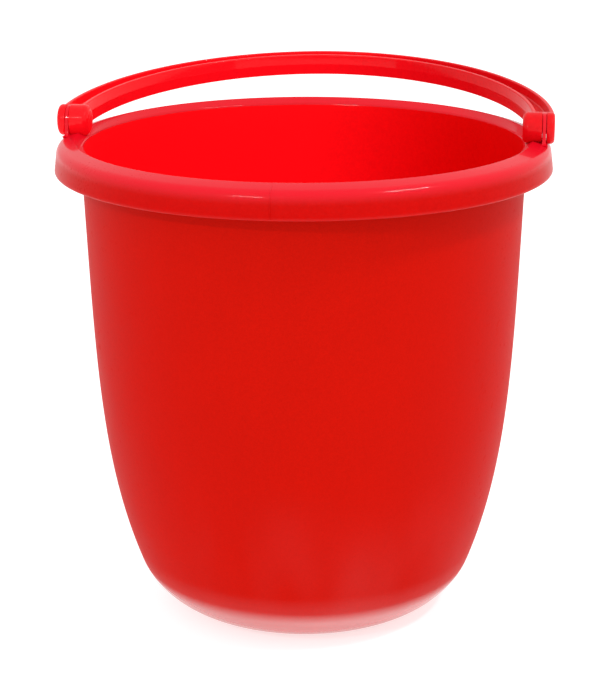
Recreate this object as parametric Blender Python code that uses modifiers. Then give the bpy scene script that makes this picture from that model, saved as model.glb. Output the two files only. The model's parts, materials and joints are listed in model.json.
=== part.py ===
"""Moulded wash bucket with a bail handle that swings between two stops.

The frame has +Z up and its origin at the centre of the base, on the floor. The handle's pivot runs
along X through the two ears, and at rest the handle is laid back over the +Y side of the rim.
"""
from math import asin, atan2, cos, hypot, pi, radians, sin

import bmesh
import bpy
from mathutils import Matrix

MM = 0.001
GAP = 0.3 * MM                  # left between pieces that touch

# Bucket: overall sizes
RIM_HEIGHT = 295.9 * MM         # floor to the crest of the rim
CREST_RADIUS = 137.4 * MM       # highest ring of the rim, round the mouth
WALL = 2.2 * MM                 # thickness of wall, rim and skirt
BASE_THICKNESS = 2.8 * MM

# Bucket: wall outline, measured on the outside
LIP_FLARE = 3.65 * MM           # crest outside the wall, where the wall passes the skirt's edge
WALL_TAPER = 7.8 * MM           # even draft over the height
BELLY_DRAW = 17.5 * MM          # further draw-in, nearly all of it low down
BELLY_POWER = 4.39              # how late the draw-in starts
HEEL_RADIUS = 46.3 * MM         # round between wall and base
FOOT_WIDTH = 9.0 * MM           # ring of the base that stands on the floor
FOOT_PAD_RADIUS = 20.0 * MM     # flat pad at the centre of the base
BASE_RECESS = 0.8 * MM          # depth of the ring between foot and pad

# Bucket: rim
RIM_WIDTH = 12.6 * MM           # crest to the outside of the skirt
SKIRT_DROP = 18.2 * MM          # crest to the skirt's lower edge
SHOULDER_DROP = 3.3 * MM        # fall of the sloping top before it rounds over
SHOULDER_ROUND = 4.4 * MM       # round between top and skirt
LIP_BEVEL = 3.6 * MM            # height of the bevel inside the mouth
CREST_ROUND = 0.8 * MM          # half the width of the crest

# Ears, which stand on the rim and carry the handle
EAR_SETBACK = 6.5 * MM          # ear's mid-plane outside the crest
EAR_THICKNESS = 2.1 * MM
EAR_RADIUS = 9.0 * MM           # round top of the ear, about the pivot
EAR_ROOT = 12.0 * MM            # depth of the ear below the crest, inside the skirt
EAR_FILLET = 3.0 * MM           # where the ear's edges run out on the rim
PIVOT_RISE = 6.8 * MM           # pivot above the crest

# Handle, drawn upright with its pivot at the origin
REST_ANGLE = radians(4.5)       # handle above level when it lies on either stop
ARCH_SETBACK = 0.6 * MM         # inside of the arch inside the crest, at the pivot
HANDLE_REACH = 156.0 * MM       # pivot to the inside of the grip
HANDLE_DEPTH = 12.9 * MM        # arch section, from inside to outside
HANDLE_WIDTH = 13.3 * MM        # arch section, front to back
FLANGE = 2.4 * MM
WEB = 2.2 * MM
ARCH_SQUARENESS = 1.95          # 2 is an ellipse
ARCH_FOOT = 5.0 * MM            # height at which the arch starts, inside the hub
FLARE_LENGTH = 90.0 * MM        # stretch of leg over which the outer flange spreads to the fork
FLARE_POWER = 1.3

# Round hub at each end of the handle, slotted into a fork that straddles the ear
HUB_RADIUS = 9.4 * MM
CRADLE_GAP = 0.4 * MM           # round the hub, in the hollow of the rim that it turns in
HUB_SETBACK = 6.3 * MM          # hub's inner face inside the crest
HUB_ROUND = 3.5 * MM            # round edge of the inner face
HUB_EDGE = 0.8 * MM             # edge of the outer face
STRAP_GAP = 0.9 * MM            # ear to the outer leg of the fork
STRAP_THICKNESS = 4.2 * MM      # outer leg of the fork
BRIDGE = 4.8 * MM               # closed end of the slot, which joins the fork's legs
BRIDGE_INSET = 0.4 * MM         # bridge inside the arch's edges

# Pivot pins
PIN_RADIUS = 3.0 * MM
PIN_HEAD_RADIUS = 4.8 * MM
PIN_HEAD_THICKNESS = 1.3 * MM
PIN_SOLE = 4.0 * MM             # hub left beyond the pin's blind end

TURN_STEPS = 64
HUB_STEPS = 28
PIN_STEPS = 16
ARCH_STEPS = 36

WALL_TOP_RADIUS = CREST_RADIUS - LIP_FLARE
SKIRT_EDGE = RIM_HEIGHT - SKIRT_DROP
PIVOT_HEIGHT = RIM_HEIGHT + PIVOT_RISE
EAR_PLANE = CREST_RADIUS + EAR_SETBACK
SLOT_INNER = EAR_PLANE - EAR_THICKNESS / 2 - GAP
SLOT_OUTER = EAR_PLANE + EAR_THICKNESS / 2 + STRAP_GAP
SLOT_END = EAR_RADIUS + GAP
HUB_OUTER = SLOT_OUTER + STRAP_THICKNESS
HUB_INNER = CREST_RADIUS - HUB_SETBACK
ARCH_HALF_SPAN = CREST_RADIUS - ARCH_SETBACK
HUB_FLARE = HUB_OUTER - ARCH_HALF_SPAN - HANDLE_DEPTH

ALONG_X = Matrix(((0, 0, 1, 0), (1, 0, 0, 0), (0, 1, 0, 0), (0, 0, 0, 1)))    # outline in YZ
ALONG_Y = Matrix.Rotation(pi / 2, 4, "X")                                     # outline in XZ


def clear_scene():
    for item in list(bpy.data.objects):
        bpy.data.objects.remove(item, do_unlink=True)


def collection(name):
    group = bpy.data.collections.new(name)
    bpy.context.scene.collection.children.link(group)
    return group


def plastic(name, colour, roughness):
    finish = bpy.data.materials.new(name)
    finish.use_nodes = True
    shader = finish.node_tree.nodes["Principled BSDF"]
    shader.inputs["Base Color"].default_value = (*colour, 1)
    shader.inputs["Roughness"].default_value = roughness
    shader.inputs["Metallic"].default_value = 0
    return finish


def place(item, group, matrix=None, parent=None, finish=None):
    group.objects.link(item)
    item.parent = parent
    if matrix is not None:
        item.matrix_basis = matrix
    if finish is not None:
        item.data.materials.append(finish)
    return item


def as_tool(item):
    item.hide_render = True
    item.display_type = "WIRE"
    return item


def turned(name, profile, steps):
    """A solid of revolution about local Z; the (radius, height) profile runs down its outer side."""
    mesh = bpy.data.meshes.new(name)
    edges = [(i, i + 1) for i in range(len(profile) - 1)]
    mesh.from_pydata([(radius, 0, height) for radius, height in profile], edges, [])
    item = bpy.data.objects.new(name, mesh)
    screw = item.modifiers.new("turn", "SCREW")
    screw.angle = 2 * pi
    screw.steps = screw.render_steps = steps
    screw.use_merge_vertices = True
    screw.merge_threshold = 0.00001
    screw.use_smooth_shade = True
    return item


def plate(name, outline, thickness):
    """A flat solid of the given outline in local XY, half its thickness each side of the plane."""
    curve = bpy.data.curves.new(name, "CURVE")
    curve.dimensions = "2D"
    curve.fill_mode = "BOTH"
    curve.extrude = thickness / 2
    spline = curve.splines.new("POLY")
    spline.points.add(len(outline) - 1)
    for point, (across, up) in zip(spline.points, outline):
        point.co = (across, up, 0, 1)
    spline.use_cyclic_u = True
    drawn = bpy.data.objects.new(name, curve)
    bpy.context.scene.collection.objects.link(drawn)
    evaluated = drawn.evaluated_get(bpy.context.evaluated_depsgraph_get())
    mesh = bpy.data.meshes.new_from_object(evaluated)
    bpy.data.objects.remove(drawn, do_unlink=True)
    bpy.data.curves.remove(curve)
    shape = bmesh.new()
    shape.from_mesh(mesh)
    bmesh.ops.remove_doubles(shape, verts=shape.verts, dist=0.000001)
    bmesh.ops.recalc_face_normals(shape, faces=shape.faces)
    shape.to_mesh(mesh)
    shape.free()
    mesh.name = name
    return bpy.data.objects.new(name, mesh)


def combine(item, tool, operation):
    modifier = item.modifiers.new(tool.name, "BOOLEAN")
    modifier.operation = operation
    modifier.object = tool
    modifier.solver = "EXACT"


def arc(centre, radius, start, end, steps):
    """Points from angle start to angle end, both included."""
    turn = (end - start) / steps
    angles = [start + turn * i for i in range(steps + 1)]
    return [(centre[0] + radius * cos(a), centre[1] + radius * sin(a)) for a in angles]


def wall_line(offset, steps=9):
    """Wall and heel, from the skirt's edge down to the base, offset outside the heel's centre line."""
    top = WALL_TOP_RADIUS - HEEL_RADIUS
    drop = SKIRT_EDGE - HEEL_RADIUS
    points = []
    for i in range(steps + 1):
        t = (i / steps) ** 0.8
        radius = top - WALL_TAPER * t - BELLY_DRAW * t ** BELLY_POWER
        height = SKIRT_EDGE - drop * t
        lean = atan2(WALL_TAPER + BELLY_DRAW * BELLY_POWER * t ** (BELLY_POWER - 1), drop)
        points.append((radius + offset * cos(lean), height - offset * sin(lean)))
    return points + arc((radius, height), offset, -lean, -pi / 2, 5)[1:]


def bucket_profile():
    """Inner floor, up the inside, over the rim, down the outside and in to the middle of the base."""
    outer = wall_line(HEEL_RADIUS)
    inner = wall_line(HEEL_RADIUS - WALL)
    floor = (inner[-1][0], BASE_THICKNESS)
    lean = WALL_TAPER / (SKIRT_EDGE - HEEL_RADIUS)
    bevel_foot = RIM_HEIGHT - LIP_BEVEL
    inner_top = (inner[0][0] + lean * (bevel_foot - inner[0][1]), bevel_foot)
    skirt = CREST_RADIUS + RIM_WIDTH
    shoulder = skirt - SHOULDER_ROUND
    crest = [(CREST_RADIUS - CREST_ROUND, RIM_HEIGHT - CREST_ROUND / 2), (CREST_RADIUS, RIM_HEIGHT),
             (CREST_RADIUS + CREST_ROUND, RIM_HEIGHT - CREST_ROUND / 4)]
    slope = atan2(SHOULDER_DROP, shoulder - CREST_RADIUS)
    centre = (shoulder - SHOULDER_ROUND * sin(slope), RIM_HEIGHT - SHOULDER_DROP - SHOULDER_ROUND)
    over = arc(centre, skirt - centre[0], pi / 2 - slope, 0, 4)
    under = arc(centre, skirt - centre[0] - WALL, 0, pi / 2 - slope, 2)
    root = (outer[0][0] + lean * (under[-1][1] - outer[0][1]), RIM_HEIGHT - LIP_BEVEL - WALL)
    foot = outer[-1][0]
    base = [(foot - FOOT_WIDTH, 0), (foot - FOOT_WIDTH - BASE_RECESS, BASE_RECESS),
            (FOOT_PAD_RADIUS + BASE_RECESS, BASE_RECESS), (FOOT_PAD_RADIUS, 0), (0, 0)]
    return ([(0, BASE_THICKNESS), floor] + inner[-2::-1] + [inner_top] + crest + over
            + [(skirt, SKIRT_EDGE), (skirt - WALL, SKIRT_EDGE)] + under + [root] + outer + base)


def ear_outline():
    """Round top about the pivot, edges leaning as far as the handle does, and a fillet on the rim."""
    half = [(EAR_RADIUS * cos(a), EAR_RADIUS * sin(a)) for a in
            [pi / 2 - (pi / 2 - REST_ANGLE) * i / 8 for i in range(9)]]
    rim = -PIVOT_RISE - EAR_SETBACK * SHOULDER_DROP / (RIM_WIDTH - SHOULDER_ROUND)
    edge = EAR_RADIUS / cos(REST_ANGLE)
    start = edge - (rim + EAR_FILLET) * sin(REST_ANGLE)
    fillet = arc((start + EAR_FILLET, rim + EAR_FILLET), EAR_FILLET, pi, 1.5 * pi, 3)
    half += fillet + [(start + EAR_FILLET, rim - WALL / 2), (start, -PIVOT_RISE - EAR_ROOT)]
    return half + [(-across, up) for across, up in half[:0:-1]]


def hub_profile():
    """Round knob from its outer face inwards, with a large round on the inner face's edge."""
    inner = arc((HUB_RADIUS - HUB_ROUND, HUB_INNER + HUB_ROUND), HUB_ROUND, 0, -pi / 2, 4)
    outer = [(0, HUB_OUTER), (HUB_RADIUS - HUB_EDGE, HUB_OUTER), (HUB_RADIUS, HUB_OUTER - HUB_EDGE)]
    return outer + inner + [(0, HUB_INNER)]


def bridge_outline():
    """Filling of the arch's channels next to the slot, from the hub's middle to the bridge's end."""
    half = HANDLE_WIDTH / 2 - BRIDGE_INSET
    low = ARCH_FOOT + BRIDGE_INSET
    top = SLOT_END + BRIDGE
    return [(-half, low), (half, low), (half, top), (-half, top)]


def arch_line(offset, foot):
    """Half of the arch, from its top to the height foot, offset outside its inner face."""
    span = ARCH_HALF_SPAN + offset
    reach = HANDLE_REACH + offset
    last = asin((foot / reach) ** (ARCH_SQUARENESS / 2))
    points = []
    for i in range(ARCH_STEPS // 2 + 1):
        angle = pi / 2 + (last - pi / 2) * i / (ARCH_STEPS // 2)
        up = reach * sin(angle) ** (2 / ARCH_SQUARENESS)
        flare = HUB_FLARE * max(0, 1 - up / FLARE_LENGTH) ** FLARE_POWER * offset / HANDLE_DEPTH
        across = span * max(cos(angle), 0) ** (2 / ARCH_SQUARENESS) + flare
        points.append((across, up))
    return points


def arch_band(inside, outside, foot):
    """Closed outline of the layer between two offsets from the arch's inner face."""
    outer = arch_line(outside, foot)
    inner = arch_line(inside, foot)
    right = outer[::-1] + [(-across, up) for across, up in outer[1:]]
    left = [(-across, up) for across, up in inner[::-1]] + inner[1:]
    return right + left


def bore(radius, slack):
    """Cylinder as long as the hub, with slack at each end."""
    return [(0, HUB_OUTER + slack), (radius, HUB_OUTER + slack), (radius, HUB_INNER - slack),
            (0, HUB_INNER - slack)]


def pin_profile(slack):
    """Headed pin from its outer face inwards; slack makes the hole that it sits in."""
    head = HUB_OUTER + (PIN_HEAD_THICKNESS if slack else 0)
    neck = HUB_OUTER - PIN_HEAD_THICKNESS - slack
    tip = HUB_INNER + PIN_SOLE - slack
    crown = [(0, head)] if slack else [(0, head), (PIN_HEAD_RADIUS * 0.7, head - 0.1 * MM)]
    edge = 0 if slack else 0.5 * MM
    return crown + [(PIN_HEAD_RADIUS + slack, head - edge), (PIN_HEAD_RADIUS + slack, neck),
                    (PIN_RADIUS + slack, neck), (PIN_RADIUS + slack, tip), (0, tip)]


def build():
    clear_scene()
    parts = collection("wash_bucket")
    tools = collection("cutters")
    wall_red = plastic("bucket_red", (0.62, 0.008, 0.006), 0.35)
    handle_red = plastic("handle_red", (0.66, 0.012, 0.03), 0.28)

    pivot = place(bpy.data.objects.new("handle_pivot", None), parts)
    pivot.location = (0, 0, PIVOT_HEIGHT)
    pivot.rotation_euler = (REST_ANGLE - pi / 2, 0, 0)
    sides = (("right", 1), ("left", -1))

    bucket = place(turned("bucket_body", bucket_profile(), TURN_STEPS), parts, finish=wall_red)
    for side, sign in sides:
        across = Matrix.Translation((0, 0, PIVOT_HEIGHT)) @ Matrix.Rotation(sign * pi / 2, 4, "Y")
        cradle = turned("cradle_" + side, bore(HUB_RADIUS + CRADLE_GAP, CRADLE_GAP), HUB_STEPS)
        as_tool(place(cradle, tools, across))
        combine(bucket, cradle, "DIFFERENCE")
        ear = plate("ear_" + side, ear_outline(), EAR_THICKNESS)
        ear_place = Matrix.Translation((sign * EAR_PLANE, 0, PIVOT_HEIGHT)) @ ALONG_X
        as_tool(place(ear, tools, ear_place))
        combine(bucket, ear, "UNION")
        hole = turned("ear_hole_" + side, bore(PIN_RADIUS + GAP, 0), PIN_STEPS)
        as_tool(place(hole, tools, across))
        combine(bucket, hole, "DIFFERENCE")

    inner_flange = plate("bail_handle", arch_band(0, FLANGE, ARCH_FOOT), HANDLE_WIDTH)
    handle = place(inner_flange, parts, ALONG_Y, pivot, handle_red)
    bands = (("web", FLANGE / 2, HANDLE_DEPTH - FLANGE / 2, WEB),
             ("outer_flange", HANDLE_DEPTH - FLANGE, HANDLE_DEPTH, HANDLE_WIDTH))
    for name, inside, outside, width in bands:
        band = plate(name, arch_band(inside, outside, ARCH_FOOT - GAP), width)
        as_tool(place(band, tools, ALONG_Y, pivot))
        combine(handle, band, "UNION")
    for side, sign in sides:
        across = Matrix.Rotation(sign * pi / 2, 4, "Y")
        hub = turned("hub_" + side, hub_profile(), HUB_STEPS)
        as_tool(place(hub, tools, across, pivot))
        combine(handle, hub, "UNION")
        inside = ARCH_HALF_SPAN + FLANGE / 2
        outside = HUB_OUTER - FLANGE
        bridge = plate("bridge_" + side, bridge_outline(), outside - inside)
        bridge_place = Matrix.Translation((sign * (inside + outside) / 2, 0, 0)) @ ALONG_X
        as_tool(place(bridge, tools, bridge_place, pivot))
        combine(handle, bridge, "UNION")
        bpy.ops.mesh.primitive_cube_add(size=1)
        slot = bpy.context.object
        slot.name = "slot_" + side
        slot.users_collection[0].objects.unlink(slot)
        depth = SLOT_END + 2 * HUB_RADIUS
        middle = (sign * (SLOT_INNER + SLOT_OUTER) / 2, 0, SLOT_END - depth / 2)
        size = Matrix.Diagonal((SLOT_OUTER - SLOT_INNER, 4 * HUB_RADIUS, depth, 1))
        as_tool(place(slot, tools, Matrix.Translation(middle) @ size, pivot))
        combine(handle, slot, "DIFFERENCE")
        hole = turned("pin_hole_" + side, pin_profile(GAP), PIN_STEPS)
        as_tool(place(hole, tools, across, pivot))
        combine(handle, hole, "DIFFERENCE")
        place(turned("pivot_pin_" + side, pin_profile(0), PIN_STEPS), parts, across, pivot, handle_red)


build()
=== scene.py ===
"""Looks of a moulded wash bucket with a bail handle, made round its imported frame.

The bucket shell, its ears, the handle and the pivot pins are modelled again in full detail, in the
frame's own sizes, and stand for the plain solids. Everything is in metres, +Z up.
"""
import json
from math import atan2, cos, hypot, pi, radians, sin, tan

import bmesh
import bpy
import numpy as np
from mathutils import Matrix, Vector


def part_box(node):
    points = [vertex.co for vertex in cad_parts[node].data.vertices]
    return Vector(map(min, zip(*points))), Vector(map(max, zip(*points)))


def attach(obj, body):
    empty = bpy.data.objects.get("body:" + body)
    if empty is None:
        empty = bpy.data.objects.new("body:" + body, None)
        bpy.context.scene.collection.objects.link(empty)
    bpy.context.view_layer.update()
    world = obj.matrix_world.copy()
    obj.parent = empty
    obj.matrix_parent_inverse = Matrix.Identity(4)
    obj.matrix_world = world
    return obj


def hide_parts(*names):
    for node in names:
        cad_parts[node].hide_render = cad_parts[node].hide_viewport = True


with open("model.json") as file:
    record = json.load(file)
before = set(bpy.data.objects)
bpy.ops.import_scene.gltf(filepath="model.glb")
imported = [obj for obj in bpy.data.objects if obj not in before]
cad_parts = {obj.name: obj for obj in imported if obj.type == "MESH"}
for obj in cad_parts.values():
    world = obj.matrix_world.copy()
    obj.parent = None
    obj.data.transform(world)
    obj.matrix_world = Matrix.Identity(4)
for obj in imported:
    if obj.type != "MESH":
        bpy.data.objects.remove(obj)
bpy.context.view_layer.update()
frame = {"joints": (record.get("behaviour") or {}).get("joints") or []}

MM = 0.001
GAP = 0.3 * MM                  # between pieces that fit in one another
MERGE_DISTANCE = 0.002 * MM
SHARP_ANGLE = radians(38)       # edges that turn by more than this stay crisp

# Taken from the frame
PIVOT_HEIGHT = frame["joints"][0]["pos_m"][2]
RIM_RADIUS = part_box("bucket_body")[1].x         # outside of the rim's skirt
EAR_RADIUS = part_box("bucket_body")[1].z - PIVOT_HEIGHT
HUB_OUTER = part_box("bail_handle")[1].x          # outer face of the handle's hub

# Bucket
PIVOT_RISE = 6.8 * MM
RIM_HEIGHT = PIVOT_HEIGHT - PIVOT_RISE
RIM_WIDTH = 12.6 * MM
CREST_RADIUS = RIM_RADIUS - RIM_WIDTH
WALL = 2.2 * MM
BASE_THICKNESS = 2.8 * MM
WALL_TOP_RADIUS = CREST_RADIUS - 3.65 * MM
SKIRT_EDGE = RIM_HEIGHT - 18.2 * MM
WALL_TAPER = 7.8 * MM
BELLY_DRAW = 17.5 * MM
BELLY_POWER = 4.39
HEEL_RADIUS = 46.3 * MM
FOOT_WIDTH = 9.0 * MM
FOOT_PAD_RADIUS = 20.0 * MM
BASE_RECESS = 0.8 * MM
LIP_BEVEL = 3.6 * MM
LIP_ROUND = 2.5 * MM            # where the inner wall turns into the lip's bevel
CREST_ROUND = 0.9 * MM
CREST_LIFT = 0.1 * MM           # makes up for what the crest's rounding takes off
TOP_FALL = 3.0 * MM             # fall of the rim's top, carried out to the skirt
SHOULDER_RADIUS = 6.0 * MM
SKIRT_FLARE = 1.9 * MM          # skirt's draft, narrower at the shoulder than at its lower edge
EDGE_ROUND = 0.7 * MM
ROOT_ROUND = 1.2 * MM           # where the rim's underside meets the outer wall
FOOT_ROUND = 0.3 * MM

# Ears
EAR_PLANE = CREST_RADIUS + 6.5 * MM
EAR_THICKNESS = 2.1 * MM
EAR_ROOT = 12.0 * MM
EAR_FILLET = 3.0 * MM           # at the foot, along the rim
EAR_FOOT_FILLET = 1.1 * MM      # at the foot, across the plate
EAR_CROWN_ROUND = 0.3 * MM
EAR_EDGE_ROUND = 0.2 * MM

# Handle, drawn upright with its pivot at the origin
REST_ANGLE = radians(4.5)
ARCH_HALF_SPAN = CREST_RADIUS - 0.6 * MM
HANDLE_REACH = 156.0 * MM
HANDLE_DEPTH = 12.9 * MM
HANDLE_WIDTH = 13.3 * MM
FLANGE = 2.4 * MM
WEB = 2.2 * MM
FLANGE_ROUND = 0.7 * MM
WEB_FILLET = 1.0 * MM
ARCH_SQUARENESS = 1.95
ARCH_FOOT = 5.4 * MM
FLARE_LENGTH = 90.0 * MM
FLARE_POWER = 1.3
HUB_FLARE = HUB_OUTER - ARCH_HALF_SPAN - HANDLE_DEPTH

# Hub, fork and pin at each end of the handle
HUB_RADIUS = 9.4 * MM
CRADLE_GAP = 0.4 * MM           # round the hub, in the hollow of the rim that it turns in
HUB_INNER = CREST_RADIUS - 6.3 * MM
HUB_ROUND = 3.5 * MM
STRAP_ROUND = 2.2 * MM
SLOT_ROUND = 0.15 * MM          # on the knob's edge beside the slot
HOLE_ROUND = 0.3 * MM
SEAT_ROUND = 0.2 * MM           # in the step that the pin's head lies in
SLOT_INNER = EAR_PLANE - EAR_THICKNESS / 2 - GAP
SLOT_OUTER = EAR_PLANE + EAR_THICKNESS / 2 + GAP
SLOT_END = EAR_RADIUS + GAP
BRIDGE = 4.8 * MM               # solid stretch of the fork past the slot's closed end
BRIDGE_INSET = 0.4 * MM         # of the bridge from the handle's upper and lower faces
BRIDGE_ROUND = 0.8 * MM
SLOT_END_ROUND = 0.5 * MM
SLOT_OVERCUT = 0.02 * MM        # past the knob's and the strap's own faces
PIN_RADIUS = 3.0 * MM
PIN_HEAD_RADIUS = 4.8 * MM
PIN_HEAD_THICKNESS = 1.3 * MM
PIN_HEAD_ROUND = 0.4 * MM
PIN_CHAMFER = 0.8 * MM
PIN_TIP = HUB_INNER + 4.0 * MM

# Small marks of the mould
WITNESS_PLACE = -0.3 * MM       # fine upright line on the front of the rim, beside the middle
WITNESS_WIDTH = 0.9 * MM
WITNESS_HEIGHT = 0.25 * MM
WITNESS_ROOT = 0.5 * MM         # how deep the line is let into the rim
PARTING_WIDTH = 0.35 * MM
PARTING_HEIGHT = 0.1 * MM

# Finishes
COAT_TOP = 0.4                  # height that the gloss's stops are measured over
COAT_ROUGHNESS = 0.07
PAINTED_GLOW_START = -0.03              # painted light: the emission is full up to here, along X
PAINTED_GLOW_END = 0.11                 # and fades out up to here
PAINTED_GLOW_COLOUR = (0.95, 0.004, 0.012, 1)
PATCH_TOP = 0.12                # soft sheen patches fade in on the wall from this height
PATCH_FOOT = 0.05               # and are full from here down
RIM_SIDE = RIM_HEIGHT - 10 * MM         # the rim's lighter top, painted light, fades in from this height
RIM_TOP = RIM_HEIGHT - 2.5 * MM         # and is full from here up
FINISH_SEAM = RIM_HEIGHT - LIP_BEVEL - 1 * MM   # inside, the rim's finish ends here

# Studio
FLOOR_REACH = 9.0
FLOOR_DROP = 0.3 * MM           # below the foot ring, so that the faces don't coincide
LAMP_TARGET = (0, 0, 0.25)

# Camera
CAMERA_DISTANCE = 8 * CREST_RADIUS
CAMERA_RISE = 1.5134 * CREST_RADIUS
CAMERA_AZIMUTH = 0.119
CAMERA_PITCH = 0.29899
CAMERA_ROLL = -0.00403
CAMERA_LENS = 96.94


# ---------------------------------------------------------------- node trees


class Value:
    """A socket of a node tree; arithmetic on it adds Math nodes."""

    def __init__(self, nodes, socket):
        self.nodes = nodes
        self.socket = socket

    def __add__(self, other):
        return self.nodes.math("ADD", self, other)

    def __sub__(self, other):
        return self.nodes.math("SUBTRACT", self, other)

    def __rsub__(self, other):
        return self.nodes.math("SUBTRACT", other, self)

    def __mul__(self, other):
        return self.nodes.math("MULTIPLY", self, other)

    def __truediv__(self, other):
        return self.nodes.math("DIVIDE", self, other)

    def __rtruediv__(self, other):
        return self.nodes.math("DIVIDE", other, self)

    def __pow__(self, other):
        return self.nodes.math("POWER", self, other)

    __radd__ = __add__
    __rmul__ = __mul__


class Nodes:
    """Adds nodes to one tree."""

    def __init__(self, tree):
        self.tree = tree

    def add(self, kind, settings=None, sockets=None, output=0):
        """A node of that type, its settings first, then the values or links of its sockets."""
        node = self.tree.nodes.new(kind)
        for name, setting in (settings or {}).items():
            if name == "stops":
                set_stops(node.color_ramp, setting)
            else:
                setattr(node, name, setting)
        for name, value in (sockets or {}).items():
            if isinstance(value, Value):
                self.tree.links.new(value.socket, node.inputs[name])
            else:
                node.inputs[name].default_value = value
        return Value(self, node.outputs[output]) if len(node.outputs) else node

    def math(self, operation, *values):
        return self.add("ShaderNodeMath", {"operation": operation}, dict(enumerate(values)))


def set_stops(ramp, stops):
    """Grey stops, each a (position, level)."""
    while len(ramp.elements) < len(stops):
        ramp.elements.new(0.5)
    for element, (position, level) in zip(ramp.elements, stops):
        element.position = position
        element.color = (level, level, level, 1)


# ---------------------------------------------------------------- outlines


def arc(centre, radius, start, end, steps):
    """Points from angle start to angle end, both included."""
    turn = (end - start) / steps
    angles = [start + turn * i for i in range(steps + 1)]
    return [(centre[0] + radius * cos(a), centre[1] + radius * sin(a)) for a in angles]


def rounded(corners, steps=6, closed=False):
    """The outline through (x, y, radius) corners, each turned into an arc of its radius."""
    points = []
    last = len(corners) - 1
    for i, (x, y, radius) in enumerate(corners):
        if not radius or not (closed or 0 < i < last):
            points.append((x, y))
            continue
        corner = Vector((x, y))
        before = (Vector(corners[i - 1][:2]) - corner).normalized()
        after = (Vector(corners[(i + 1) % len(corners)][:2]) - corner).normalized()
        half = before.angle(after) / 2
        centre = corner + (before + after).normalized() * radius / sin(half)
        first = corner + before * radius / tan(half) - centre
        final = corner + after * radius / tan(half) - centre
        start = atan2(first.y, first.x)
        turn = (atan2(final.y, final.x) - start + pi) % (2 * pi) - pi
        points += arc(centre, radius, start, start + turn, steps)
    return points + points[:1] if closed else points


def wall_line(offset, steps=44):
    """Wall and heel, from the skirt's edge down to the base, offset outside the heel's centre line."""
    top = WALL_TOP_RADIUS - HEEL_RADIUS
    drop = SKIRT_EDGE - HEEL_RADIUS
    points = []
    for i in range(steps + 1):
        t = i / steps
        radius = top - WALL_TAPER * t - BELLY_DRAW * t ** BELLY_POWER
        height = SKIRT_EDGE - drop * t
        lean = atan2(WALL_TAPER + BELLY_DRAW * BELLY_POWER * t ** (BELLY_POWER - 1), drop)
        points.append((radius + offset * cos(lean), height - offset * sin(lean)))
    return points + arc((radius, height), offset, -lean, -pi / 2, 18)[1:]


def bucket_outline():
    """Middle of the inner floor, up the inside, over the rim, down the outside and under the base."""
    outer = wall_line(HEEL_RADIUS)
    inner = wall_line(HEEL_RADIUS - WALL)
    lean = WALL_TAPER / (SKIRT_EDGE - HEEL_RADIUS)
    bevel_foot = RIM_HEIGHT - LIP_BEVEL
    root = RIM_HEIGHT - LIP_BEVEL - WALL
    fall = TOP_FALL / RIM_WIDTH
    rim = rounded([
        (*inner[0], 0),
        (inner[0][0] + lean * (bevel_foot - inner[0][1]), bevel_foot, LIP_ROUND),
        (CREST_RADIUS, RIM_HEIGHT + CREST_LIFT, CREST_ROUND),
        (RIM_RADIUS - SKIRT_FLARE, RIM_HEIGHT - TOP_FALL, SHOULDER_RADIUS),
        (RIM_RADIUS, SKIRT_EDGE, EDGE_ROUND),
        (RIM_RADIUS - WALL, SKIRT_EDGE, EDGE_ROUND),
        (RIM_RADIUS - SKIRT_FLARE - WALL, RIM_HEIGHT - TOP_FALL - WALL + fall * WALL,
         SHOULDER_RADIUS - WALL),
        (outer[0][0] + lean * (root - outer[0][1]), root, ROOT_ROUND),
        (*outer[0], 0)])
    foot = outer[-1][0]
    base = rounded([
        (*outer[-1], 0),
        (foot - FOOT_WIDTH, 0, FOOT_ROUND),
        (foot - FOOT_WIDTH - BASE_RECESS, BASE_RECESS, FOOT_ROUND),
        (FOOT_PAD_RADIUS + BASE_RECESS, BASE_RECESS, FOOT_ROUND),
        (FOOT_PAD_RADIUS, 0, FOOT_ROUND),
        (0, 0, 0)], steps=3)
    floor = [(0, BASE_THICKNESS), (inner[-1][0], BASE_THICKNESS)]
    return floor + inner[-2:0:-1] + rim + outer[1:-1] + base


def beam_section():
    """Closed outline of the arch's I section: outwards, and across with the parting lines."""
    half = HANDLE_WIDTH / 2
    web = WEB / 2
    inside, outside = FLANGE, HANDLE_DEPTH - FLANGE
    lower = [(0, -half, FLANGE_ROUND), (inside, -half, FLANGE_ROUND), (inside, -web, WEB_FILLET),
             (outside, -web, WEB_FILLET), (outside, -half, FLANGE_ROUND),
             (HANDLE_DEPTH, -half, FLANGE_ROUND)]
    outer_line = [(HANDLE_DEPTH, -PARTING_WIDTH, 0), (HANDLE_DEPTH + PARTING_HEIGHT, 0, 0),
                  (HANDLE_DEPTH, PARTING_WIDTH, 0)]
    inner_line = [(0, PARTING_WIDTH, 0), (-PARTING_HEIGHT, 0, 0), (0, -PARTING_WIDTH, 0)]
    upper = [(out, -across, radius) for out, across, radius in lower[::-1]]
    return rounded(lower + outer_line + upper + inner_line, steps=4, closed=True)


def knob_outline():
    """Inner leg of the fork: a round knob with a blind hole for the pin, along its axis."""
    hole = PIN_RADIUS + GAP
    return rounded([(0, PIN_TIP - GAP, 0), (hole, PIN_TIP - GAP, 0), (hole, SLOT_INNER, HOLE_ROUND),
                    (HUB_RADIUS, SLOT_INNER, SLOT_ROUND), (HUB_RADIUS, HUB_INNER, HUB_ROUND),
                    (0, HUB_INNER, 0)], steps=10)


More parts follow.
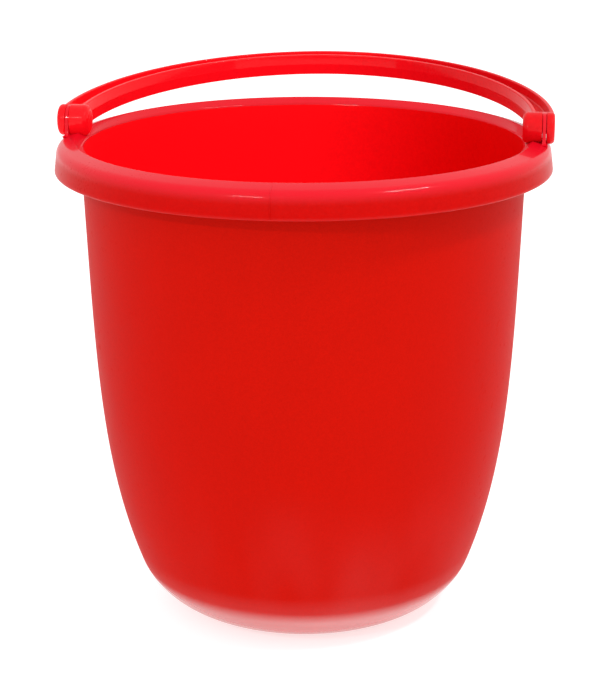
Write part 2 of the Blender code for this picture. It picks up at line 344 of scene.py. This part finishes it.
def strap_outline():
    """Outer leg of the fork: a disc with a stepped hole that takes the pin's head."""
    hole = PIN_RADIUS + GAP
    seat = PIN_HEAD_RADIUS + GAP
    ledge = HUB_OUTER - PIN_HEAD_THICKNESS - GAP
    return rounded([(hole, SLOT_OUTER, HOLE_ROUND), (hole, ledge, SEAT_ROUND), (seat, ledge, SEAT_ROUND),
                    (seat, HUB_OUTER, HOLE_ROUND), (HUB_RADIUS, HUB_OUTER, STRAP_ROUND),
                    (HUB_RADIUS, SLOT_OUTER, HOLE_ROUND)], steps=5, closed=True)


def pin_outline():
    """Headed pin with a shallow domed head and a chamfered tip."""
    neck = HUB_OUTER - PIN_HEAD_THICKNESS
    return rounded([(0, HUB_OUTER, 0), (PIN_HEAD_RADIUS * 0.6, HUB_OUTER - 0.08 * MM, 6 * MM),
                    (PIN_HEAD_RADIUS, HUB_OUTER - PIN_HEAD_ROUND, PIN_HEAD_ROUND),
                    (PIN_HEAD_RADIUS, neck, SEAT_ROUND), (PIN_RADIUS, neck, SEAT_ROUND),
                    (PIN_RADIUS, PIN_TIP, PIN_CHAMFER), (0, PIN_TIP, 0)], steps=5)


# ---------------------------------------------------------------- geometry node shapes


def geometry_tree(name, inputs):
    """An empty tree with those named inputs and one shape out; returns its builder and its inputs."""
    tree = bpy.data.node_groups.new(name, "GeometryNodeTree")
    for label, kind in inputs:
        tree.interface.new_socket(label, in_out="INPUT", socket_type=kind)
    tree.interface.new_socket("Shape", in_out="OUTPUT", socket_type="NodeSocketGeometry")
    nodes = Nodes(tree)
    entry = tree.nodes.new("NodeGroupInput")
    return nodes, {label: Value(nodes, entry.outputs[label]) for label, kind in inputs}


def close_tree(nodes, shape, finish):
    """Merges what meets, and ends the tree."""
    merged = nodes.add("GeometryNodeMergeByDistance", {}, {"Geometry": shape, "Distance": MERGE_DISTANCE})
    plain = nodes.add("GeometryNodeRealizeInstances", {}, {"Geometry": merged})
    painted = nodes.add("GeometryNodeSetMaterial", {}, {"Geometry": plain, "Material": finish})
    leave = nodes.tree.nodes.new("NodeGroupOutput")
    nodes.tree.links.new(painted.socket, leave.inputs["Shape"])
    return nodes.tree


def swept_grid(nodes, outline, steps):
    """A grid of steps + 1 columns, one row for each outline point.

    Returns the grid, each vertex's share of the way along, and its outline point's two coordinates.
    """
    size = nodes.add("GeometryNodeAttributeDomainSize", {}, {"Geometry": outline})
    grid = nodes.add("GeometryNodeMeshGrid", {}, {"Vertices X": steps + 1, "Vertices Y": size})
    index = nodes.add("GeometryNodeInputIndex")
    column = nodes.math("FLOOR", (index + 0.5) / size)
    row = index - column * size
    place = nodes.add("GeometryNodeInputPosition")
    point = nodes.add("GeometryNodeSampleIndex", {"data_type": "FLOAT_VECTOR"},
                      {"Geometry": outline, "Value": place, "Index": row})
    first = nodes.add("ShaderNodeSeparateXYZ", {}, {"Vector": point}, "X")
    second = nodes.add("ShaderNodeSeparateXYZ", {}, {"Vector": point}, "Y")
    return grid, column / steps, first, second


def set_places(nodes, grid, x, y, z):
    """Moves each vertex of the grid to its own place."""
    place = nodes.add("ShaderNodeCombineXYZ", {}, {"X": x, "Y": y, "Z": z})
    return nodes.add("GeometryNodeSetPosition", {}, {"Geometry": grid, "Position": place})


def turning_tree():
    """Turns a (radius, height) outline about Z."""
    nodes, given = geometry_tree("turned", [("Outline", "NodeSocketGeometry"), ("Steps", "NodeSocketInt"),
                                            ("Finish", "NodeSocketMaterial")])
    grid, share, radius, height = swept_grid(nodes, given["Outline"], given["Steps"])
    angle = share * (2 * pi)
    shape = set_places(nodes, grid, radius * nodes.math("COSINE", angle),
                       radius * nodes.math("SINE", angle), height)
    return close_tree(nodes, shape, given["Finish"])


def arch_tree():
    """Carries the I section, (outwards, across), round the handle's arch, in the XZ plane."""
    sizes = ["Half Span", "Reach", "Squareness", "Foot", "Depth", "Flare", "Flare Length",
             "Flare Power"]
    nodes, given = geometry_tree("bail_arch", [("Outline", "NodeSocketGeometry"),
                                               ("Steps", "NodeSocketInt")]
                                 + [(size, "NodeSocketFloat") for size in sizes]
                                 + [("Finish", "NodeSocketMaterial")])
    grid, share, outwards, across = swept_grid(nodes, given["Outline"], given["Steps"])
    reach = given["Reach"] + outwards
    power = 2 / given["Squareness"]
    last = nodes.math("ARCSINE", (given["Foot"] / reach) ** (given["Squareness"] / 2))
    angle = last + (pi - 2 * last) * share
    up = reach * nodes.math("SINE", angle) ** power
    side = nodes.math("COSINE", angle)
    near = nodes.math("MAXIMUM", 1 - up / given["Flare Length"], 0)
    flare = given["Flare"] * near ** given["Flare Power"] * outwards / given["Depth"]
    span = (given["Half Span"] + outwards) * nodes.math("ABSOLUTE", side) ** power + flare
    shape = set_places(nodes, grid, span * nodes.math("SIGN", side), across, up)
    return close_tree(nodes, shape, given["Finish"])


def outline_mesh(name, points):
    """A chain of edges through the outline's points."""
    mesh = bpy.data.meshes.new(name)
    edges = [(i, i + 1) for i in range(len(points) - 1)]
    mesh.from_pydata([(x, y, 0) for x, y in points], edges, [])
    return mesh


def grown(name, tree, outline, values):
    """The closed mesh that a geometry tree makes from an outline and its named inputs."""
    item = bpy.data.objects.new(name, outline_mesh(name, outline))
    bpy.context.scene.collection.objects.link(item)
    modifier = item.modifiers.new(tree.name, "NODES")
    modifier.node_group = tree
    sockets = {socket.name: socket.identifier for socket in tree.interface.items_tree
               if socket.in_out == "INPUT"}
    for label, value in values.items():
        modifier[sockets[label]] = value
    return plain_mesh(item)


def plain_mesh(item):
    """Replaces an object by its evaluated mesh, closed, with its faces pointing out."""
    evaluated = item.evaluated_get(bpy.context.evaluated_depsgraph_get())
    mesh = bpy.data.meshes.new_from_object(evaluated)
    name = item.name
    bpy.data.objects.remove(item, do_unlink=True)
    tidy(mesh)
    mesh.name = name
    made = bpy.data.objects.new(name, mesh)
    bpy.context.scene.collection.objects.link(made)
    return made


def tidy(mesh):
    """Merges doubles, closes open edges, turns the faces outwards and shades the mesh smooth."""
    shape = bmesh.new()
    shape.from_mesh(mesh)
    bmesh.ops.remove_doubles(shape, verts=shape.verts, dist=MERGE_DISTANCE / 2)
    loose = [edge for edge in shape.edges if edge.is_boundary]
    bmesh.ops.holes_fill(shape, edges=loose, sides=0)
    bmesh.ops.recalc_face_normals(shape, faces=shape.faces)
    for face in shape.faces:
        face.smooth = True
    shape.to_mesh(mesh)
    shape.free()
    mesh.set_sharp_from_angle(angle=SHARP_ANGLE)


def boolean(item, tools, operation):
    """Joins the tools to an object or cuts them from it, and removes them."""
    for tool in tools:
        modifier = item.modifiers.new(tool.name, "BOOLEAN")
        modifier.operation = operation
        modifier.object = tool
        modifier.solver = "EXACT"
    made = plain_mesh(item)
    for tool in tools:
        bpy.data.objects.remove(tool, do_unlink=True)
    return made


def along_axis(item, sign):
    """Lays a piece turned about Z along X, towards that side."""
    item.data.transform(Matrix.Rotation(sign * pi / 2, 4, "Y"))
    return item


def block(name, low, high, edge):
    """A block between two corners with rounded edges."""
    mesh = bpy.data.meshes.new(name)
    shape = bmesh.new()
    size = Vector(high) - Vector(low)
    middle = (Vector(high) + Vector(low)) / 2
    bmesh.ops.create_cube(shape, size=1, matrix=Matrix.Translation(middle) @ Matrix.Diagonal((*size, 1)))
    bmesh.ops.bevel(shape, geom=shape.edges, offset=edge, segments=4, profile=0.5, affect="EDGES",
                    clamp_overlap=True)
    shape.to_mesh(mesh)
    shape.free()
    item = bpy.data.objects.new(name, mesh)
    bpy.context.scene.collection.objects.link(item)
    return plain_mesh(item)


def loft(name, loops):
    """A closed mesh through loops of equal length, with a face on each end."""
    shape = bmesh.new()
    rows = [[shape.verts.new(point) for point in loop] for loop in loops]
    for lower, upper in zip(rows, rows[1:]):
        for i in range(len(lower)):
            j = (i + 1) % len(lower)
            shape.faces.new((lower[i], lower[j], upper[j], upper[i]))
    shape.faces.new(rows[0][::-1])
    shape.faces.new(rows[-1])
    mesh = bpy.data.meshes.new(name)
    shape.to_mesh(mesh)
    shape.free()
    tidy(mesh)
    item = bpy.data.objects.new(name, mesh)
    bpy.context.scene.collection.objects.link(item)
    return item


# ---------------------------------------------------------------- pieces


def ear(side, sign):
    """Round-topped plate with rounded edges, spreading in fillets where it stands on the rim."""
    rim = -PIVOT_RISE - (EAR_PLANE - CREST_RADIUS) * TOP_FALL / RIM_WIDTH
    root = -PIVOT_RISE - EAR_ROOT
    loops = []
    heights = list(np.linspace(root, rim, 5)[:-1])
    heights += [rim + EAR_FILLET * (1 - cos(a)) for a in np.linspace(0, pi / 2, 9)[:-1]]
    heights += list(np.linspace(rim + EAR_FILLET, 0, 4)[:-1])
    heights += [EAR_RADIUS * sin(a) for a in np.linspace(0, pi / 2, 25)[:-1]]
    for up in heights:
        lean = EAR_RADIUS / cos(REST_ANGLE) - up * sin(REST_ANGLE)
        half = lean if up < EAR_RADIUS * sin(REST_ANGLE) else (EAR_RADIUS ** 2 - up ** 2) ** 0.5
        spread = max(0.0, 1 - max(0.0, up - rim) / EAR_FILLET)
        if up >= rim:
            half += EAR_FILLET * (1 - (1 - spread ** 2) ** 0.5)
        rise = max(0.0, 1 - max(0.0, up - rim) / EAR_FOOT_FILLET)
        thick = EAR_THICKNESS / 2 + (EAR_FOOT_FILLET * (1 - (1 - rise ** 2) ** 0.5) if up >= rim else 0)
        over = EAR_CROWN_ROUND - (EAR_RADIUS - up)
        if over > 0:
            thick -= EAR_CROWN_ROUND - (EAR_CROWN_ROUND ** 2 - over ** 2) ** 0.5
        edge = min(EAR_EDGE_ROUND, 0.9 * half, 0.9 * thick)
        corners = [(thick, half, edge), (-thick, half, edge), (-thick, -half, edge), (thick, -half, edge)]
        loop = rounded(corners, steps=5, closed=True)[:-1]
        loops.append([(sign * EAR_PLANE + x, y, PIVOT_HEIGHT + up) for x, y in loop])
    return loft("ear_" + side, loops)


def cutter(name, radius, slack, sign):
    """A cylinder about the pivot, as long as the hub, with slack at each end."""
    outline = [(0, HUB_INNER - slack), (radius, HUB_INNER - slack), (radius, HUB_OUTER + slack),
               (0, HUB_OUTER + slack)]
    item = along_axis(grown(name, bpy.data.node_groups["turned"], outline, {"Steps": 96}), sign)
    item.data.transform(Matrix.Translation((0, 0, PIVOT_HEIGHT)))
    return item


def witness_line():
    """Fine raised line that the mould leaves down the rim's shoulder and skirt."""
    rim = rounded([(CREST_RADIUS, RIM_HEIGHT, 0),
                   (RIM_RADIUS - SKIRT_FLARE, RIM_HEIGHT - TOP_FALL, SHOULDER_RADIUS),
                   (RIM_RADIUS, SKIRT_EDGE + 1.0 * MM, 0)], steps=14)
    loops = []
    for (radius, height), after in zip(rim, rim[1:] + [None]):
        if after:
            along = (Vector(after) - Vector((radius, height))).normalized()
        out = Vector((-along.y, along.x))
        top = Vector((radius, height)) + out * WITNESS_HEIGHT
        foot = Vector((radius, height)) - out * WITNESS_ROOT
        half = WITNESS_WIDTH / 2
        loops.append([(WITNESS_PLACE + x, -(point.x ** 2 - WITNESS_PLACE ** 2) ** 0.5, point.y)
                      for x, point in ((-half, foot), (half, foot), (0.4 * half, top), (-0.4 * half, top))])
    return loft("witness_line", loops)


def bucket_finish(face):
    """0 on the outer wall and the underside, 1 on the rim and its ears, 2 inside."""
    x, y, z = face.center
    reach = hypot(x, y)
    if z > FINISH_SEAM or (z > SKIRT_EDGE - 0.05 * MM and reach > CREST_RADIUS):
        return 1
    inwards = x * face.normal.x + y * face.normal.y < 0
    return 2 if inwards or face.normal.z > 0.5 else 0


def bucket(wall, rim, inside):
    """One moulding: the turned shell with a hollow under each hub, the ears and the witness line."""
    shell = grown("bucket", turning_tree(), bucket_outline(), {"Steps": 288, "Finish": wall})
    line = witness_line()
    cradles, ears = [], []
    for side, sign in (("right", 1), ("left", -1)):
        cradles.append(cutter("cradle_" + side, HUB_RADIUS + CRADLE_GAP, CRADLE_GAP, sign))
        ears.append(boolean(ear(side, sign), [cutter("drill_" + side, PIN_RADIUS + GAP, 0, sign)],
                            "DIFFERENCE"))
    shell = boolean(shell, cradles, "DIFFERENCE")
    body = boolean(shell, ears + [line], "UNION")
    paint(body, [wall, rim, inside], bucket_finish)
    return body


def handle(finish):
    """One moulding: the arch, and at each end a knob and a strap either side of the ear."""
    turned = bpy.data.node_groups["turned"]
    sizes = {"Half Span": ARCH_HALF_SPAN, "Reach": HANDLE_REACH, "Squareness": ARCH_SQUARENESS,
             "Foot": ARCH_FOOT, "Depth": HANDLE_DEPTH, "Flare": HUB_FLARE,
             "Flare Length": FLARE_LENGTH, "Flare Power": FLARE_POWER}
    arch = grown("handle", arch_tree(), beam_section(), {"Steps": 220, "Finish": finish, **sizes})
    bridges, slots, legs = [], [], []
    for side, sign in (("right", 1), ("left", -1)):
        bridge_x = sorted((sign * (ARCH_HALF_SPAN + FLANGE / 2), sign * (HUB_OUTER - FLANGE)))
        half = HANDLE_WIDTH / 2 - BRIDGE_INSET
        bridges.append(block("bridge_" + side, (bridge_x[0], -half, ARCH_FOOT + GAP),
                             (bridge_x[1], half, SLOT_END + BRIDGE), BRIDGE_ROUND))
        slot_x = sorted((sign * (SLOT_INNER - SLOT_OVERCUT), sign * (SLOT_OUTER + SLOT_OVERCUT)))
        slots.append(block("slot_" + side, (slot_x[0], -2 * HUB_RADIUS, -HUB_RADIUS),
                           (slot_x[1], 2 * HUB_RADIUS, SLOT_END), SLOT_END_ROUND))
        for name, outline in (("knob_", knob_outline()), ("strap_", strap_outline())):
            leg = grown(name + side, turned, outline, {"Steps": 96, "Finish": finish})
            legs.append(along_axis(leg, sign))
    arch = boolean(arch, bridges, "UNION")
    arch = boolean(arch, slots, "DIFFERENCE")
    bail = boolean(arch, legs, "UNION")
    paint(bail, [finish], lambda face: 0)
    return bail


def pin(side, sign, finish):
    """Headed pin through the fork and the ear."""
    turned = bpy.data.node_groups["turned"]
    item = grown("pin_" + side, turned, pin_outline(), {"Steps": 64, "Finish": finish})
    return along_axis(item, sign)


def lay_down(item):
    """From the upright drawing to the handle's place at rest."""
    turn = Matrix.Rotation(REST_ANGLE - pi / 2, 4, "X")
    item.data.transform(Matrix.Translation((0, 0, PIVOT_HEIGHT)) @ turn)
    return item


# ---------------------------------------------------------------- finishes


def ramp(nodes, value, stops):
    """A grey level for each value, straight between the stops."""
    return nodes.add("ShaderNodeValToRGB", {"stops": stops}, {"Fac": value})


def fade(nodes, value, start, end):
    """0 at start and before, 1 at end and past it, smooth between."""
    return nodes.add("ShaderNodeMapRange", {"interpolation_type": "SMOOTHSTEP"},
                     {"Value": value, "From Min": start, "From Max": end})


def blend(nodes, share, first, second):
    """From the first colour to the second."""
    return nodes.add("ShaderNodeMix", {"data_type": "RGBA"}, {"Factor": share, "A": first, "B": second},
                     output="Result")


def new_finish(name):
    """A material with its Principled shader, its builder and each point's own place."""
    finish = bpy.data.materials.new(name)
    finish.use_nodes = True
    nodes = Nodes(finish.node_tree)
    place = nodes.add("ShaderNodeTexCoord", output="Object")
    return finish, finish.node_tree.nodes["Principled BSDF"], nodes, place


def moulded_plastic(name, colour, roughness, grain_size, grain_depth, coats, painted_glow=0.0, coat_ior=1.5,
                    painted_top_light=None, sheen_patches=0.0):
    """Dyed polypropylene: fine mould grain, faint clouding of the dye and of the gloss, few scratches.

    coats are (height, weight) stops of the clear gloss over it. The emission strength it takes is
    painted light: a glow that stands in for light through the thin plastic and fades out towards +X,
    leaving that side darker. The colour it takes for the rim's upper side is painted light as well,
    lighter where the rim faces the light from above. sheen_patches is the weight of the soft upright
    marks low on the wall.
    """
    finish, shader, nodes, place = new_finish(name)

    def noise(scale, detail, stretch=(1, 1, 1)):
        spot = nodes.add("ShaderNodeMapping", {}, {"Vector": place, "Scale": stretch})
        return nodes.add("ShaderNodeTexNoise", {}, {"Vector": spot, "Scale": scale, "Detail": detail})

    cloud = noise(22, 4)
    flow = noise(55, 3, (1, 1, 0.12))
    grain = noise(1 / grain_size, 2)
    speck = noise(0.45 / grain_size, 1)
    scratch = ramp(nodes, noise(260, 2, (0.08, 1, 1)), [(0.0, 0.0), (0.66, 0.0), (0.7, 1.0), (1.0, 1.0)])
    height = nodes.add("ShaderNodeSeparateXYZ", {}, {"Vector": place}, "Z")

    tint = (cloud - 0.5) * 0.3 + (flow - 0.5) * 0.22 + (speck - 0.5) * 0.4 + (grain - 0.5) * 0.7
    shade = blend(nodes, tint + 0.5, (*[c * 0.86 for c in colour], 1),
                  (*[min(1, c * 1.14) for c in colour], 1))
    # painted light: the rim's upper side is made lighter and pinker, as if lit from above
    if painted_top_light:
        shade = blend(nodes, fade(nodes, height, RIM_SIDE, RIM_TOP), shade, (*painted_top_light, 1))
    gloss = roughness + (cloud - 0.5) * 0.12 + (grain - 0.5) * 0.08 + scratch * 0.1
    bump = nodes.add("ShaderNodeBump", {}, {"Strength": 1.0, "Distance": grain_depth, "Height": grain})
    coat = ramp(nodes, height / COAT_TOP, [(level / COAT_TOP, weight) for level, weight in coats])
    if sheen_patches:
        patches = ramp(nodes, noise(26, 1, (1, 1, 0.16)), [(0.0, 0.0), (0.45, 0.0), (0.75, 1.0), (1.0, 1.0)])
        low = fade(nodes, height, PATCH_TOP, PATCH_FOOT)
        coat = nodes.math("MINIMUM", coat + patches * low * sheen_patches, 1)

    varied = {"Base Color": shade, "Roughness": gloss, "Normal": bump, "Coat Weight": coat}
    # painted light: emission that fades out along X, for light through the thin plastic; the +X side is left
    # darker
    if painted_glow:
        side = nodes.add("ShaderNodeSeparateXYZ", {}, {"Vector": place}, "X")
        lit = fade(nodes, side, PAINTED_GLOW_END, PAINTED_GLOW_START)
        varied["Emission Color"] = blend(nodes, lit, (0, 0, 0, 1), PAINTED_GLOW_COLOUR)
    for socket, value in varied.items():
        finish.node_tree.links.new(value.socket, shader.inputs[socket])
    shader.inputs["Specular IOR Level"].default_value = 0.03
    shader.inputs["Coat Roughness"].default_value = COAT_ROUGHNESS
    shader.inputs["Coat IOR"].default_value = coat_ior
    shader.inputs["Emission Strength"].default_value = painted_glow
    return finish


def plastics():
    """The finishes of the outer wall, the rim, the inside and the handle with its pins."""
    even_gloss = [(0.0, 0.22), (COAT_TOP, 0.22)]
    foot_gloss = [(0.0, 1.0), (0.02, 1.0), (0.028, 0.1), (0.04, 0.0), (COAT_TOP, 0.0)]
    top_gloss = [(0.0, 0.0), (SKIRT_EDGE + 0.3 * MM, 0.35), (SKIRT_EDGE + 1.2 * MM, 0.0),
                 (RIM_SIDE, 0.05), (RIM_HEIGHT - 6 * MM, 0.35), (COAT_TOP, 0.35)]
    no_gloss = [(0.0, 0.0), (COAT_TOP, 0.0)]
    wall = moulded_plastic("satin_red", (0.5, 0.004, 0.0005), 0.5, 0.9 * MM, 0.06 * MM, foot_gloss,
                           coat_ior=3.0, sheen_patches=0.035)
    rim = moulded_plastic("gloss_red", (0.5, 0.002, 0.001), 0.3, 1.6 * MM, 0.004 * MM, top_gloss,
                          painted_top_light=(0.68, 0.003, 0.014))
    # The inside is the outer wall's own plastic; its lighter red is painted light.
    inside = moulded_plastic("inner_red", (0.64, 0.001, 0.001), 0.4, 1.6 * MM, 0.015 * MM, no_gloss,
                             painted_glow=0.38)
    # The handle's lighter red is painted light, for light through its thin plastic.
    grip = moulded_plastic("handle_red", (0.68, 0.003, 0.007), 0.3, 1.6 * MM, 0.004 * MM, even_gloss,
                           painted_glow=0.3)
    return wall, rim, inside, grip


def floor_finish():
    """Pale matt studio floor, faintly mottled, bright enough to run into the white behind it."""
    finish, shader, nodes, place = new_finish("pale_floor")
    mottle = nodes.add("ShaderNodeTexNoise", {}, {"Vector": place, "Scale": 3.0, "Detail": 3})
    shade = blend(nodes, mottle, (0.6, 0.6, 0.6, 1), (0.64, 0.64, 0.64, 1))
    finish.node_tree.links.new(shade.socket, shader.inputs["Base Color"])
    shader.inputs["Roughness"].default_value = 0.7
    shader.inputs["Emission Color"].default_value = (1, 1, 1, 1)
    shader.inputs["Emission Strength"].default_value = 0.6
    return finish


def paint(item, finishes, choose):
    """Gives each face the finish that choose picks for it."""
    mesh = item.data
    mesh.materials.clear()
    for finish in finishes:
        mesh.materials.append(finish)
    for face in mesh.polygons:
        face.material_index = choose(face)


# ---------------------------------------------------------------- stage


def area_light(name, place, target, size, power):
    """Rectangular lamp of that size in metres and power in watts, aimed at the target."""
    light = bpy.data.lights.new(name, "AREA")
    light.shape = "RECTANGLE"
    light.size, light.size_y = size
    light.energy = power
    item = bpy.data.objects.new(name, light)
    item.location = place
    item.rotation_euler = (Vector(target) - Vector(place)).to_track_quat("-Z", "Y").to_euler()
    bpy.context.scene.collection.objects.link(item)


def stage():
    """Pale floor, white surroundings and two long narrow lamps that draw the rim's highlights."""
    mesh = bpy.data.meshes.new("floor")
    corners = [(-1, -1), (1, -1), (1, 1), (-1, 1)]
    mesh.from_pydata([(x * FLOOR_REACH, y * FLOOR_REACH, -FLOOR_DROP) for x, y in corners],
                     [], [(0, 1, 2, 3)])
    floor = bpy.data.objects.new("floor", mesh)
    bpy.context.scene.collection.objects.link(floor)
    mesh.materials.append(floor_finish())

    world = bpy.data.worlds.new("studio")
    world.use_nodes = True
    world.node_tree.nodes["Background"].inputs["Color"].default_value = (1, 1, 1, 1)
    world.node_tree.nodes["Background"].inputs["Strength"].default_value = 1.0
    bpy.context.scene.world = world
    bpy.context.scene.view_settings.view_transform = "Standard"

    area_light("key", (0.99, -0.42, 1.55), LAMP_TARGET, (0.55, 0.05), 8)
    area_light("front", (-0.5, -1.48, 1.05), LAMP_TARGET, (0.36, 0.02), 5)


def camera():
    """In front, a little to the right, looking down on the rim."""
    data = bpy.data.cameras.new("camera")
    data.lens = CAMERA_LENS
    item = bpy.data.objects.new("camera", data)
    place = (sin(CAMERA_AZIMUTH) * CAMERA_DISTANCE, -cos(CAMERA_AZIMUTH) * CAMERA_DISTANCE,
             RIM_HEIGHT + CAMERA_RISE)
    item.matrix_world = (Matrix.Translation(place) @ Matrix.Rotation(CAMERA_AZIMUTH, 4, "Z")
                         @ Matrix.Rotation(pi / 2 - CAMERA_PITCH, 4, "X")
                         @ Matrix.Rotation(CAMERA_ROLL, 4, "Z"))
    bpy.context.scene.collection.objects.link(item)
    bpy.context.scene.camera = item


# ---------------------------------------------------------------- whole bucket


def build():
    """Each piece rides on its body and stands for its plain solid."""
    wall, rim, inside, grip = plastics()
    stage()
    camera()

    body = bucket(wall, rim, inside)
    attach(body, "bucket")
    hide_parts("bucket_body")

    bail = lay_down(handle(grip))
    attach(bail, "handle")
    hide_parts("bail_handle")

    for side, sign in (("right", 1), ("left", -1)):
        stud = lay_down(pin(side, sign, grip))
        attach(stud, "handle")
        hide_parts("pivot_pin_" + side)


build()
